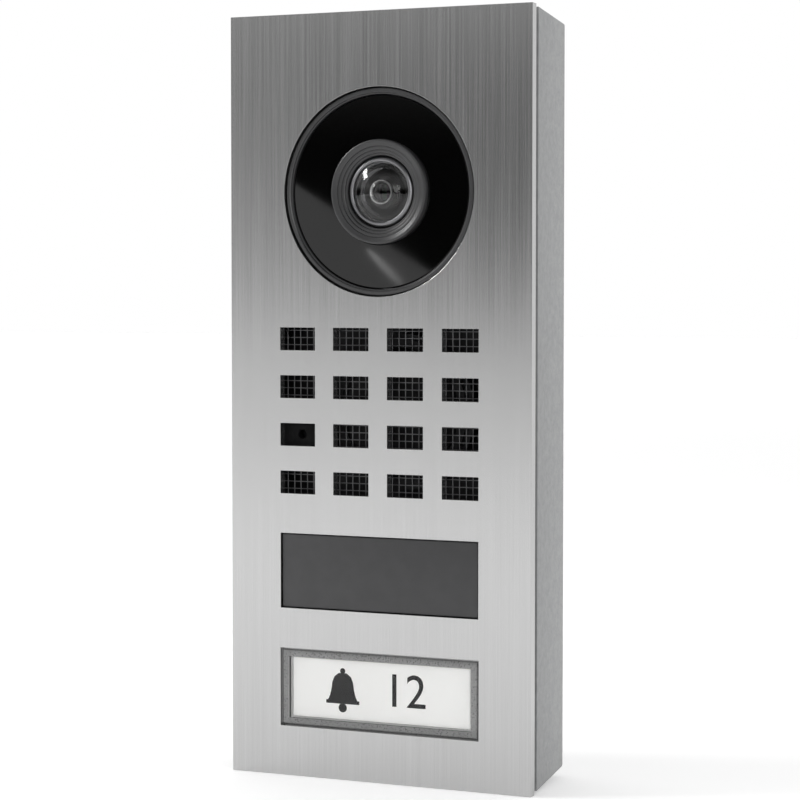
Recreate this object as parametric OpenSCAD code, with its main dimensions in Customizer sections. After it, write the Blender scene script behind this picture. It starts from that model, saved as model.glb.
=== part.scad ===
// Door intercom panel: a surface-mounted video door station.
// The front faces -Y, the back of the housing lies on the wall at y = 0, +Z is up and +X is to
// the right of someone who stands in front of it. The origin is the middle of the back face.
// "Depth" below is always the distance behind the front plate's face, in millimetres.

/* [Front plate] */
// Width of the steel front plate
plate_w = 67.5; // [67:0.1:69]
// Height of the steel front plate
plate_h = 157.5; // [157:0.1:160]
// Thickness of the steel front plate
plate_t = 2; // [1.5:0.1:2]

/* [Rear housing] */
// Depth of the whole panel, from the plate's face to the wall
depth = 25; // [25:0.5:34]
// How far the housing's front rim stands inside the plate's edge
rim_inset = 0.4; // [0.2:0.1:0.6]
// How much further in each side is at the wall than at the front rim
taper = 1.9; // [0.5:0.1:1.9]
// Thickness of the housing's walls
wall = 2; // [1.6:0.1:2]
// Radius of the edges round the back face
back_round = 2.5; // [1:0.5:3]
// Diameter of the hole for the cable in the rubber grommet
cable_hole_d = 12; // [8:0.5:14]
// Diameter of each wall screw hole
wall_hole_d = 4.6; // [4:0.1:5.5]
// Distance between the wall screws across the panel
wall_hole_x = 45; // [40:1:46]
// Distance between the wall screws up the panel
wall_hole_z = 120; // [110:1:124]

/* [Camera] */
// Distance from the plate's top edge down to the lens axis
camera_drop = 36.6; // [36.4:0.1:36.8]
// Diameter of the camera opening in the plate
camera_hole_d = 42.6; // [42.4:0.1:43]
// Number of infrared lamps round the lens
lamp_count = 10; // [6:1:12]

/* [Speech grille] */
// Columns of sound holes
grille_columns = 4; // [1:1:4]
// Rows of sound holes
grille_rows = 4; // [1:1:4]
// Width of one sound hole
hole_w = 8; // [4:0.1:9]
// Height of one sound hole
hole_h = 4.7; // [3:0.1:6]
// Distance between columns
hole_pitch_x = 12.2; // [11:0.1:12.3]
// Distance between rows
hole_pitch_z = 9.9; // [8:0.1:10]
// Distance from the plate's top edge down to the first row
grille_drop = 66.6; // [66.4:0.1:66.8]

/* [Reader window] */
// Width of the dark window's opening
window_w = 44.6; // [40:0.1:45]
// Height of the dark window's opening
window_h = 15.6; // [12:0.1:16]
// Distance from the plate's top edge down to the window's middle
window_drop = 114.7; // [114.5:0.1:114.9]

/* [Call button] */
// Width of the button's opening
button_w = 44.8; // [44:0.1:45]
// Height of the button's opening
button_h = 16.3; // [16:0.1:16.5]
// Distance from the plate's top edge down to the button's middle
button_drop = 139; // [138.8:0.1:139.2]
// Width of the paper name label
label_w = 40; // [34:0.5:40]
// Height of the paper name label
label_h = 12.2; // [9:0.1:12.2]

/* [Hidden] */
$fn = 64;
eps = 0.01;
over = 1;

// Heights above the origin of the middle of each feature
camera_z = plate_h / 2 - camera_drop;
grille_top_z = plate_h / 2 - grille_drop;
grille_z = grille_top_z - hole_pitch_z * (grille_rows - 1) / 2;
window_z = plate_h / 2 - window_drop;
button_z = plate_h / 2 - button_drop;
hook_z = plate_h / 2 - 6.75;
bracket_z = -plate_h / 2 + 6.65;
head_seat_z = -plate_h / 2 + 3.65;

// Depths of the layers, front to back
rim_depth = 4.2;
carrier_span = [9, 11];
board_span = [12.5, 14.1];
back_inside = depth - wall;

// Places on the lens axis, in x and z
lens_at = [0, camera_z];
// Places of the other round parts
speaker_at = [3, grille_z];
microphone_at = [-hole_pitch_x * 1.5, grille_top_z - 2 * hole_pitch_z];
cable_at = [0, -15];
screw_depth = 12;
standoff_x = 28;
standoff_z = 66;
board_screw_x = 25.5;
board_screw_zs = [13, -48];
camera_ear_x = 25.5;
camera_board_w = 28;
camera_screw = [11.5, 10];
board_w = 56;
board_top = 17.5;
board_bottom = -69.3;
terminal_at = [0, -45];
terminal_ways = 10;
terminal_pitch = 3.81;

// The button and what it works
button_gap = 0.3;
button_face = 0.2;
button_lip = [2.3, 3.5];
button_back = 4.8;
switch_top = 8.7;
plunger_tip = 6.2;
spring_x = 17;

// ---------- shapes that repeat ----------

// Box of size [w, h] whose front and back lie at the depths in span
module slab(size, span, at = [0, 0]) {
    translate([at[0] - size[0] / 2, span[0] - depth, at[1] - size[1] / 2])
        cube([size[0], span[1] - span[0], size[1]]);
}

// Round bar along the depth
module rod(r, span, at = [0, 0]) {
    translate([at[0], span[0] - depth, at[1]])
        rotate([-90, 0, 0]) cylinder(r = r, h = span[1] - span[0]);
}

// Round tube along the depth
module tube(outer_r, inner_r, span, at = [0, 0]) {
    difference() {
        rod(outer_r, span, at);
        rod(inner_r, [span[0] - over, span[1] + over], at);
    }
}

// Rectangular frame with a rectangular opening
module picture_frame(outer, inner, span, at = [0, 0]) {
    difference() {
        slab(outer, span, at);
        slab(inner, [span[0] - over, span[1] + over], at);
    }
}

// Turned part: the profile's points are [radius, depth]
module turned(profile, at = [0, 0]) {
    translate([at[0], -depth, at[1]])
        rotate([-90, 0, 0]) rotate_extrude() polygon(profile);
}

// Screw along the depth with its head at the back and its tip towards the front
module back_screw(head_r, shank_r, head_span, tip, at) {
    difference() {
        union() {
            rod(head_r, head_span, at);
            rod(shank_r, [tip, head_span[0] + eps], at);
        }
        for (turn = [0, 90])
            translate([at[0], head_span[1] - depth, at[1]]) rotate([0, turn, 0])
                cube([head_r * 1.2, 1.2, 0.4], center = true);
    }
}

// The child at all four places made by mirroring a place in x and z
module four_places(at) {
    for (sx = [-1, 1], sz = [-1, 1])
        translate([sx * at[0], 0, sz * at[1]]) children();
}

// Closed tube along points that lie on a helix round the depth axis
function helix_point(radius, pitch, a) =
    [radius * cos(a), pitch * a / 360, radius * sin(a)];
module coil_spring(radius, wire_r, turns, length) {
    steps = 16 * turns;
    sides = 8;
    pitch = (length - 2 * wire_r) / turns;
    ring = [for (s = [0:steps]) let (a = s * 360 * turns / steps)
        for (k = [0:sides - 1]) let (b = k * 360 / sides)
            helix_point(radius + wire_r * cos(b), pitch, a) + [0, wire_r * (1 + sin(b)), 0]];
    skin = [for (s = [0:steps - 1], k = [0:sides - 1]) let (n = (k + 1) % sides)
        [s * sides + k, (s + 1) * sides + k, (s + 1) * sides + n, s * sides + n]];
    first = [for (k = [0:sides - 1]) k];
    last = [for (k = [0:sides - 1]) steps * sides + sides - 1 - k];
    polyhedron(points = ring, faces = concat([first], skin, [last]), convexity = 10);
}

// ---------- front plate and what is welded to it ----------

module front_plate() {
    cut = [-over, plate_t + over];
    color("lightgray") difference() {
        slab([plate_w, plate_h], [0, plate_t]);
        rod(camera_hole_d / 2, cut, lens_at);
        for (column = [0:grille_columns - 1], row = [0:grille_rows - 1])
            slab([hole_w, hole_h], cut,
                [(column - (grille_columns - 1) / 2) * hole_pitch_x, grille_top_z - row * hole_pitch_z]);
        slab([window_w, window_h], cut, [0, window_z]);
        slab([button_w, button_h], cut, [0, button_z]);
    }
}

// Four threaded pillars that carry the inner frame
module plate_standoffs() {
    color("silver") four_places([standoff_x, standoff_z])
        difference() {
            rod(2.4, [plate_t, carrier_span[0]]);
            rod(1.25, [3.5, carrier_span[0] + over]);
        }
}

// Angle that hangs the plate on the housing's inner rib
module top_hook() {
    color("silver") union() {
        slab([18, 2], [plate_t, 14], [0, hook_z]);
        slab([18, 4], [12.4, 14], [0, hook_z + 1]);
        slab([18, 6], [plate_t, 3.5], [0, hook_z - 2]);
    }
}

// Angle with the thread for the screw that locks the plate from below
module fixing_bracket() {
    color("silver") difference() {
        union() {
            slab([12, 3], [plate_t, 17], [0, bracket_z]);
            slab([12, 5], [plate_t, 3.5], [0, bracket_z - 1]);
        }
        translate([0, screw_depth - depth, bracket_z - 5]) cylinder(r = 2.05, h = 10);
    }
}

// ---------- rear housing ----------

// Half the housing's width or height at a depth, less what a wall takes
function half_at(half, d, inside) =
    half - rim_inset - taper * (d - rim_depth) / (depth - rim_depth) - inside;

// Outline through the drafted sides, from the rim to the rounded back edge
function drafted(half, front, back, inside, round_r) =
    let (corner = half_at(half, back, inside) - round_r,
         side = concat([[half_at(half, front, inside), front]],
             [for (a = [0:15:90]) [corner + round_r * cos(a), back - round_r + round_r * sin(a)]]))
    concat([for (p = side) [p[0], p[1] - depth]],
        [for (i = [len(side) - 1:-1:0]) [-side[i][0], side[i][1] - depth]]);

module drafted_block(front, back, inside, round_r) {
    intersection() {
        linear_extrude(plate_h, center = true)
            polygon(drafted(plate_w / 2, front, back, inside, round_r));
        rotate([0, -90, 0]) linear_extrude(plate_w, center = true)
            polygon(drafted(plate_h / 2, front, back, inside, round_r));
    }
}

module rear_housing() {
    boss_top = bracket_z - 1.8;
    color("darkgray") difference() {
        union() {
            difference() {
                drafted_block(rim_depth, depth, 0, back_round);
                drafted_block(rim_depth - over, back_inside, wall, 1);
            }
            // rib that the plate's hook goes behind
            intersection() {
                drafted_block(rim_depth, depth, wall / 2, 1);
                slab([24, 6], [10, 12], [0, hook_z + 4.4]);
            }
            // boss for the locking screw in the bottom wall
            intersection() {
                drafted_block(rim_depth, depth, wall / 2, 1);
                slab([11, 8], [7, 17], [0, boss_top - 4]);
            }
        }
        four_places([wall_hole_x / 2, wall_hole_z / 2]) rod(wall_hole_d / 2, [back_inside - over, depth + over]);
        rod(10, [back_inside - over, depth + over], cable_at);
        translate([0, screw_depth - depth, head_seat_z]) {
            cylinder(r = 2.2, h = 8, center = true);
            translate([0, 0, -6]) cylinder(r = 3.8, h = 6);
        }
    }
}

module housing_gasket() {
    color("dimgray") picture_frame([plate_w - 1.8, plate_h - 1.8], [plate_w - 4.8, plate_h - 4.8],
        [plate_t, rim_depth]);
}

// Rubber bush that seals the cable where it comes out of the wall
module cable_grommet() {
    color("dimgray") turned([
        [cable_hole_d / 2, back_inside - 1.5], [12, back_inside - 1.5], [12, back_inside],
        [9.9, back_inside], [9.9, depth], [cable_hole_d / 2, depth]
    ], cable_at);
}

module security_screw() {
    head_h = 2.2;
    color("silver") translate([0, screw_depth - depth, head_seat_z - head_h]) difference() {
        union() {
            cylinder(r = 3.5, h = head_h);
            cylinder(r = 2, h = head_h + 4.8);
        }
        // six-sided socket with a pin in its middle
        difference() {
            translate([0, 0, -over]) cylinder(r = 1.7, h = over + 1.5, $fn = 6);
            cylinder(r = 0.5, h = 1.5 + eps);
        }
    }
}

// ---------- inner frame ----------

module carrier_frame() {
    cut = [carrier_span[0] - over, carrier_span[1] + over];
    color("black") difference() {
        union() {
            slab([58, 140], carrier_span);
            tube(16, 14.1, [5.6, carrier_span[0] + eps], speaker_at);
            for (sx = [-1, 1], sz = [-1, 1])
                rod(1.5, [6.2, carrier_span[0] + eps], [21 * sx, window_z + 7 * sz]);
            for (sx = [-1, 1], z = board_screw_zs)
                rod(2.3, [carrier_span[1] - eps, board_span[0]], [board_screw_x * sx, z]);
        }
        rod(22.7, cut, lens_at);
        rod(7.6, cut, speaker_at);
        rod(2, cut, microphone_at);
        slab([46, 17], cut, [0, button_z]);
        four_places([standoff_x, standoff_z]) rod(1.35, cut);
        for (sx = [-1, 1]) {
            rod(1.15, cut, [camera_ear_x * sx, camera_z]);
            for (z = board_screw_zs) rod(1.15, [cut[0], board_span[0] + over], [board_screw_x * sx, z]);
        }
    }
}

module carrier_screws() {
    color("silver") for (sx = [-1, 1], sz = [-1, 1])
        back_screw(2.2, 1.2, [carrier_span[1], 12.4], 4.5, [standoff_x * sx, standoff_z * sz]);
}

// Six like screws: four hold the main board and two the camera housing
module self_tapping_screws() {
    color("silver") for (sx = [-1, 1]) {
        for (z = board_screw_zs)
            back_screw(2, 1.1, [board_span[1], board_span[1] + 1.4], 9.2, [board_screw_x * sx, z]);
        back_screw(2, 1.1, [12.5, 13.9], 7.6, [camera_ear_x * sx, camera_z]);
    }
}

// ---------- camera ----------

module camera_bezel() {
    outer = camera_hole_d / 2 - 0.3;
    color("dimgray") turned([
        [19.8, 0.7], [20, 0.5], [outer - 0.2, 0.5], [outer, 0.7], [outer, 2.8],
        [23.5, 2.8], [23.5, 4.3], [19.8, 4.3]
    ], lens_at);
}

module camera_seal() {
    color("dimgray") tube(23.5, 21.8, [plate_t, 2.8], lens_at);
}

// Glossy flat cover that hides the infrared lamps
module camera_cover() {
    color("black") turned([
        [10.75, 1.3], [19.6, 1.3], [19.6, 4.3], [22.5, 4.3], [22.5, 5.6], [18.2, 5.6],
        [18.2, 2.8], [10.75, 2.8]
    ], lens_at);
}

module camera_housing() {
    color("black") difference() {
        union() {
            turned([
                [22.5, 5.6], [22.5, 20.2], [0, 20.2], [0, 18.9], [20.8, 18.9], [20.8, 9.9],
                [18, 9.9], [18, 8.7], [20.8, 8.7], [20.8, 5.6]
            ], lens_at);
            for (sx = [-1, 1]) difference() {
                slab([7, 8], [11, 12.5], [(camera_ear_x - 1) * sx, camera_z]);
                rod(21.5, [11 - over, 12.5 + over], lens_at);
            }
        }
        for (sx = [-1, 1]) {
            rod(1.15, [10, 13], [camera_ear_x * sx, camera_z]);
            for (sz = [-1, 1])
                rod(0.95, [18, 21], [camera_screw[0] * sx, camera_z + camera_screw[1] * sz]);
        }
        slab([13, 8], [16, 18], [0, camera_z - 21]);
    }
}

// Stepped collar round the lens
module lens_collar() {
    color("dimgray") turned([
        [7.4, 1.4], [7.9, 1.2], [8.2, 0.9], [8.6, 0.9], [8.9, 0.6], [9.3, 0.6], [9.7, 0.3], [10.1, 0.1],
        [10.4, 0.1], [10.65, 0.35], [10.65, 4.3], [12.5, 4.3], [12.5, 5.5], [7.4, 5.5]
    ], lens_at);
}

module lens_barrel() {
    // the rim is rolled over the edge of the front lens
    color("gray") turned([
        [6.15, 1.62], [6.2, 1.4], [6.5, 1.25], [6.9, 1.25], [7.15, 1.35], [7.25, 1.6], [7.25, 15.2],
        [5.6, 15.2], [5.6, 3.2], [6.65, 3.2], [6.65, 1.76]
    ], lens_at);
}

// Wide-angle front lens: domed outside and hollowed inside
module front_lens() {
    dome_r = 13.13;
    hollow_r = 6.2;
    apex = 0.15;
    color("lightsteelblue") difference() {
        intersection() {
            rod(6.6, [0, 3.2], lens_at);
            translate([0, apex + dome_r - depth, camera_z]) sphere(r = dome_r);
        }
        translate([0, 1 + hollow_r - depth, camera_z]) sphere(r = hollow_r);
    }
}

module lens_retaining_ring() {
    color("silver") tube(2.45, 2, [1.75, 2.3], lens_at);
}

// Black cone in the front lens's hollow, with the second lens in its bore
module lens_spacer() {
    color("black") turned([[2, 2.3], [3.3, 2.3], [4.3, 3.1], [4.6, 3.4], [5.5, 3.4], [5.5, 5.6], [2, 5.6]],
        lens_at);
}

module rear_lens() {
    color("lightsteelblue") union() {
        rod(1.9, [2.6, 5.6 + eps], lens_at);
        rod(5.5, [5.6, 8.4], lens_at);
    }
}

module lens_holder() {
    color("black") difference() {
        union() {
            rod(8.8, [9, 13.2], lens_at);
            slab([18, 18], [13.1, 17.6], lens_at);
        }
        rod(7.35, [8, 15.6], lens_at);
        rod(6.2, [15, 18], lens_at);
    }
}

module image_sensor() {
    color("darkslategray") slab([8, 8], [16.6, 17.6], lens_at);
}

module camera_board() {
    color("darkgreen") difference() {
        slab([camera_board_w, camera_board_w], [17.6, 18.9], lens_at);
        for (sx = [-1, 1], sz = [-1, 1])
            rod(1, [17, 19.5], [camera_screw[0] * sx, camera_z + camera_screw[1] * sz]);
    }
}

module camera_board_screws() {
    color("silver") for (sx = [-1, 1], sz = [-1, 1]) difference() {
        at = [camera_screw[0] * sx, camera_z + camera_screw[1] * sz];
        union() {
            rod(1.6, [16.4, 17.6], at);
            rod(0.9, [17.6 - eps, 20], at);
        }
        translate([at[0], 16.4 - depth, at[1]]) cube([2, 0.8, 0.4], center = true);
    }
}

module lamp_board() {
    color("darkgreen") tube(20.6, 11.5, [7.5, 8.7], lens_at);
}

module infrared_lamps() {
    color("lavender") for (i = [0:lamp_count - 1]) {
        a = (i + 0.5) * 360 / lamp_count;
        at = [15.5 * cos(a), camera_z + 15.5 * sin(a)];
        union() {
            rod(1.5, [5.5, 7.5], at);
            translate([at[0], 5.5 - depth, at[1]]) sphere(r = 1.5);
        }
    }
}

// Flat cable from the camera board, out through the slot and down to the main board
module camera_flex() {
    start = camera_z - 13.5;
    end = 13.5;
    t = 0.3;
    side = [[start, 16.9], [18.5, 16.9], [16, 14.8], [end, 14.8],
        [end, 14.8 + t], [16 - 0.1, 14.8 + t], [18.5 - 0.1, 16.9 + t], [start, 16.9 + t]];
    color("orange") rotate([0, -90, 0]) linear_extrude(12, center = true)
        polygon([for (p = side) [p[0], p[1] - depth]]);
}

module flex_connectors() {
    color("ivory") {
        slab([14, 4], [16.3, 17.6], [0, camera_z - 11.5]);
        slab([14, 4], [board_span[1], 15.7], [0, 11.5]);
    }
}

// ---------- speaker and microphone ----------

module grille_gasket() {
    color("dimgray") picture_frame([50, 41], [46.6, 37.5], [plate_t, 3.6], [0, grille_z]);
}

module speaker_mesh() {
    color("black") difference() {
        slab([49.4, 40.4], [3.6, 3.9], [0, grille_z]);
        slab([10.8, 8.4], [3, 5], microphone_at);
    }
}

module speaker_gasket() {
    color("dimgray") tube(15, 13.3, [3.9, 4.5], speaker_at);
}

module speaker_basket() {
    color("gray") turned([
        [13.9, 4.5], [15, 4.5], [15, 5.6], [13.9, 5.6], [13.9, 7], [9, 8.6], [7.1, 8.6], [7.1, 8], [8.6, 8],
        [13.2, 6.4], [13.2, 4.5]
    ], speaker_at);
}

// Rubber roll edge that carries the cone
module speaker_surround() {
    color("black") turned([[12.75, 5.2], [12.9, 4.9], [13.1, 4.9], [13.2, 5.1], [13.2, 5.6], [12.75, 5.6]],
        speaker_at);
}

module speaker_cone() {
    color("dimgray") turned([
        [0, 5], [2.4, 5.2], [4.2, 5.8], [4.75, 6.1], [12.6, 5.2], [12.6, 5.5], [4.75, 6.5], [4.2, 6.5],
        [2.4, 5.6], [0, 5.4]
    ], speaker_at);
}

module voice_coil() {
    color("chocolate") tube(4.75, 4.25, [6.5, 8.4], speaker_at);
}

module speaker_magnet() {
    color("silver") turned([
        [0, 7.2], [3.9, 7.2], [3.9, 9], [5.1, 9], [5.1, 7.2], [7, 7.2], [7, 10.2], [0, 10.2]
    ], speaker_at);
}

module microphone_boot() {
    color("dimgray") difference() {
        slab([10, 7.6], [2.1, carrier_span[0]], microphone_at);
        rod(0.9, [1, 5], microphone_at);
        rod(3.05, [4.2, 10], microphone_at);
    }
}

module microphone() {
    color("silver") rod(3, [4.3, 7], microphone_at);
}

// ---------- reader window ----------

module reader_window() {
    color("#4a4a4a") union() {
        slab([window_w - 0.4, window_h - 0.4], [0.35, 3.7], [0, window_z]);
        slab([window_w + 4.4, window_h + 4.4], [2.5, 3.7], [0, window_z]);
    }
}

module window_seal() {
    color("dimgray") picture_frame([window_w + 4.4, window_h + 4.4], [window_w + 0.4, window_h + 0.4],
        [plate_t, 2.5], [0, window_z]);
}

module reader_board() {
    color("darkgreen") slab([46, 17.5], [5.2, 6.2], [0, window_z]);
}

// Rectangular copper loops on the reader board
module reader_antenna() {
    color("peru") for (i = [0:3])
        picture_frame([43 - 2.4 * i, 15 - 2.4 * i], [41.8 - 2.4 * i, 13.8 - 2.4 * i],
            [5, 5.2], [0, window_z]);
}

// ---------- call button ----------

module button_cap() {
    w = button_w - 2 * button_gap;
    h = button_h - 2 * button_gap;
    color("gainsboro") difference() {
        union() {
            // the face, with a chamfer all round it
            intersection() {
                slab([w, h], [button_face, button_back], [0, button_z]);
                linear_extrude(plate_h * 2, center = true) polygon([
                    [-w / 2 + 0.7, button_face - depth], [w / 2 - 0.7, button_face - depth],
                    [w / 2, button_face + 0.7 - depth], [w / 2, 0], [-w / 2, 0],
                    [-w / 2, button_face + 0.7 - depth]]);
                translate([0, 0, button_z]) rotate([0, -90, 0]) linear_extrude(plate_w, center = true) polygon([
                    [-h / 2 + 0.7, button_face - depth], [h / 2 - 0.7, button_face - depth],
                    [h / 2, button_face + 0.7 - depth], [h / 2, 0], [-h / 2, 0],
                    [-h / 2, button_face + 0.7 - depth]]);
            }
            // lip that stops the button behind the plate
            slab([button_w + 1.8, button_h + 1.9], button_lip, [0, button_z]);
        }
        slab([label_w + 1, label_h + 0.8], [1.6, button_back + over], [0, button_z]);
    }
}

module name_label() {
    color("white") slab([label_w, label_h], [1.65, 1.85], [0, button_z]);
}

// White tray behind the label, with the pin that works the switch and two spring pins
module label_tray() {
    color("whitesmoke") union() {
        slab([label_w + 0.6, label_h + 0.4], [1.9, button_back], [0, button_z]);
        rod(2, [button_back - eps, plunger_tip - 0.1], [0, button_z]);
        for (sx = [-1, 1]) rod(1.4, [button_back - eps, 6.4], [spring_x * sx, button_z]);
    }
}

module button_guide() {
    color("whitesmoke") picture_frame([50, 20.4], [button_w + 2.4, button_h + 2.5],
        [plate_t, carrier_span[0]], [0, button_z]);
}

module button_springs() {
    color("silver") for (sx = [-1, 1])
        translate([spring_x * sx, button_back - depth, button_z])
            coil_spring(2.1, 0.25, 5, board_span[0] - button_back);
}

module switch_body() {
    color("black") tube(3, 1.85, [switch_top, switch_top + 1.2], [0, button_z]);
    color("black") slab([6.2, 6.2], [switch_top + 1.2, board_span[0]], [0, button_z]);
}

module switch_plunger() {
    color("ivory") rod(1.8, [plunger_tip, switch_top + 0.4], [0, button_z]);
}

module backlight_lamps() {
    color("lightyellow") for (x = [-11, -7, 7, 11])
        slab([3, 1.6], [11.7, board_span[0]], [x, button_z]);
}

// ---------- main board ----------

module main_board() {
    height = board_top - board_bottom;
    color("darkgreen") difference() {
        slab([board_w, height], board_span, [0, (board_top + board_bottom) / 2]);
        for (sx = [-1, 1], z = board_screw_zs)
            rod(1.3, [12, 15], [board_screw_x * sx, z]);
    }
}

module processor() {
    color("black") slab([14, 14], [board_span[1], 15.6], [14, 0]);
}

module wifi_module() {
    color("silver") slab([18, 16], [board_span[1], 16.7], [-15, 0]);
}

module power_transformer() {
    color("black") union() {
        slab([14, 12], [board_span[1], 19], [18, -27]);
        slab([10, 12], [19 - eps, 21], [18, -27]);
    }
}

module door_relay() {
    color("royalblue") slab([15, 10], [board_span[1], 21.4], [-18, -27]);
}

module capacitors() {
    color("dimgray") for (x = [-4.5, 4.5]) rod(3.15, [board_span[1], 21.6], [x, -33]);
}

module terminal_block() {
    w = terminal_ways * terminal_pitch + 1;
    color("seagreen") difference() {
        slab([w, 9.6], [board_span[1], 22.3], terminal_at);
        for (i = [0:terminal_ways - 1]) {
            x = (i - (terminal_ways - 1) / 2) * terminal_pitch;
            rod(1.55, [18.4, 23], [x, terminal_at[1] - 1]);
            translate([x, 16.6 - depth, terminal_at[1] + 1.6]) cylinder(r = 1.3, h = 4);
        }
    }
}

module terminal_screws() {
    color("silver") for (i = [0:terminal_ways - 1]) difference() {
        at = [(i - (terminal_ways - 1) / 2) * terminal_pitch, terminal_at[1] - 1];
        rod(1.45, [18.4, 20.6], at);
        translate([at[0], 20.6 - depth, at[1]]) cube([4, 0.9, 0.5], center = true);
    }
}

front_plate();
plate_standoffs();
top_hook();
fixing_bracket();
rear_housing();
housing_gasket();
cable_grommet();
security_screw();
carrier_frame();
carrier_screws();
self_tapping_screws();
camera_bezel();
camera_seal();
camera_cover();
camera_housing();
lens_collar();
lens_barrel();
front_lens();
lens_retaining_ring();
lens_spacer();
rear_lens();
lens_holder();
image_sensor();
camera_board();
camera_board_screws();
lamp_board();
infrared_lamps();
camera_flex();
flex_connectors();
grille_gasket();
speaker_mesh();
speaker_gasket();
speaker_basket();
speaker_surround();
speaker_cone();
voice_coil();
speaker_magnet();
microphone_boot();
microphone();
reader_window();
window_seal();
reader_board();
reader_antenna();
button_cap();
name_label();
label_tray();
button_guide();
button_springs();
switch_body();
switch_plunger();
backlight_lamps();
main_board();
processor();
wifi_module();
power_transformer();
door_relay();
capacitors();
terminal_block();
terminal_screws();
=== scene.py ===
"""Door intercom panel: the looks of its parts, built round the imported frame.

The front faces -Y, the wall is at y = 0, +Z is up and +X is to the right of someone in front of it.
Sizes in the classes are millimetres. "Depth" is the distance behind the steel front's face.
"""
import sys
import logging
import math
from contextlib import contextmanager
from dataclasses import dataclass, field
from enum import Enum
from typing import Callable, Iterator, Sequence

import bmesh
import bpy
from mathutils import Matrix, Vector


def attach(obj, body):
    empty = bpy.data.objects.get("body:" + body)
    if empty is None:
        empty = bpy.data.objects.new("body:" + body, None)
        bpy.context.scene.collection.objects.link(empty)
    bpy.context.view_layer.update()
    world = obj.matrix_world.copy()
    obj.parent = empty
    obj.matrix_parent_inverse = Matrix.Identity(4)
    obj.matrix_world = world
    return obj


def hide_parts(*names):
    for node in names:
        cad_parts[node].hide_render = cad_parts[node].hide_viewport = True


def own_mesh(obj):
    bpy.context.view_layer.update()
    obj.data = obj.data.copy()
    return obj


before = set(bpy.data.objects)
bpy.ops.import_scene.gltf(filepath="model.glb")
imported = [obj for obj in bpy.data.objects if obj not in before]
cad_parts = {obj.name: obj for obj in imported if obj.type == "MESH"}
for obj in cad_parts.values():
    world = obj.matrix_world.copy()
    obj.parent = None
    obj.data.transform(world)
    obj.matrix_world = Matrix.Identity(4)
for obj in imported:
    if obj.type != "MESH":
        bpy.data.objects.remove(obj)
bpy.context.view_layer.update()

LOG = logging.getLogger("intercom")

Point = tuple[float, float]
Point3 = tuple[float, float, float]
Colour = tuple[float, float, float, float]
Test = Callable[[Vector, Vector], bool]

PANEL_DEPTH = 25.0
SAME_PLACE = 1e-6


class Body(Enum):
    """The bodies that pieces ride on."""

    PANEL = "panel"
    BUTTON = "call_button"


class Use(Enum):
    """What a helper shape does to a piece."""

    CUT = "DIFFERENCE"
    ADD = "UNION"


class Axis(Enum):
    """The direction that a turned piece's axis has."""

    DEPTH = "depth"
    UP = "up"


# ---------------------------------------------------------------- modelling


def mm(value: float) -> float:
    """Turns millimetres into metres."""
    return value / 1000.0


def place(x: float, depth: float, z: float) -> Vector:
    """Turns a place in millimetres, with its depth behind the front's face, into metres.

    Args:
        x: Distance to the right of the middle.
        depth: Distance behind the steel front's face.
        z: Height above the middle.

    Returns:
        The same place in the row's frame.
    """
    return Vector((mm(x), mm(depth - PANEL_DEPTH), mm(z)))


def deselect() -> None:
    """Goes back to object mode and deselects everything."""
    active = bpy.context.view_layer.objects.active
    if active is not None and active.mode != "OBJECT":
        bpy.ops.object.mode_set(mode="OBJECT")
    bpy.ops.object.select_all(action="DESELECT")


def take(*objects: bpy.types.Object) -> None:
    """Selects only these objects; the first is the active one."""
    deselect()
    for item in objects:
        item.select_set(True)
    bpy.context.view_layer.objects.active = objects[0]


def drop(item: bpy.types.Object) -> None:
    """Deletes a helper object and its mesh."""
    mesh = item.data
    bpy.data.objects.remove(item, do_unlink=True)
    if isinstance(mesh, bpy.types.Mesh):
        bpy.data.meshes.remove(mesh)


@contextmanager
def shaping(item: bpy.types.Object, mode: str = "FACE") -> Iterator[None]:
    """Opens an object in edit mode with nothing selected, and closes it again.

    Args:
        item: The object to shape.
        mode: VERT, EDGE or FACE, what is selected.

    Yields:
        Nothing; the operators act on the open mesh.
    """
    take(item)
    bpy.ops.object.mode_set(mode="EDIT")
    bpy.ops.mesh.select_mode(type=mode)
    bpy.ops.mesh.select_all(action="DESELECT")
    yield
    bpy.ops.object.mode_set(mode="OBJECT")


def pick_faces(item: bpy.types.Object, test: Test) -> None:
    """Selects the faces of the open mesh whose middle and normal pass a test.

    Args:
        item: The object that is in edit mode.
        test: Called with a face's middle in metres and its normal.
    """
    mesh = bmesh.from_edit_mesh(item.data)
    for face in mesh.faces:
        face.select_set(test(face.calc_center_median(), face.normal))
    mesh.select_flush_mode()
    bmesh.update_edit_mesh(item.data)


def pick_edges(item: bpy.types.Object, depth: float) -> None:
    """Selects the edges of the open mesh whose middle lies at a depth.

    Args:
        item: The object that is in edit mode.
        depth: The depth as a y coordinate in metres.
    """
    mesh = bmesh.from_edit_mesh(item.data)
    for edge in mesh.edges:
        middle = (edge.verts[0].co + edge.verts[1].co) / 2
        edge.select_set(abs(middle.y - depth) < SAME_PLACE)
    mesh.select_flush_mode()
    bmesh.update_edit_mesh(item.data)


def settle(item: bpy.types.Object) -> None:
    """Applies an object's place, turn and scale to its mesh."""
    take(item)
    bpy.ops.object.transform_apply(location=True, rotation=True, scale=True)


def mend(item: bpy.types.Object) -> None:
    """Merges doubled points and turns every face outwards."""
    with shaping(item, "VERT"):
        bpy.ops.mesh.select_all(action="SELECT")
        bpy.ops.mesh.remove_doubles(threshold=1e-7)
        bpy.ops.mesh.normals_make_consistent(inside=False)


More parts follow.
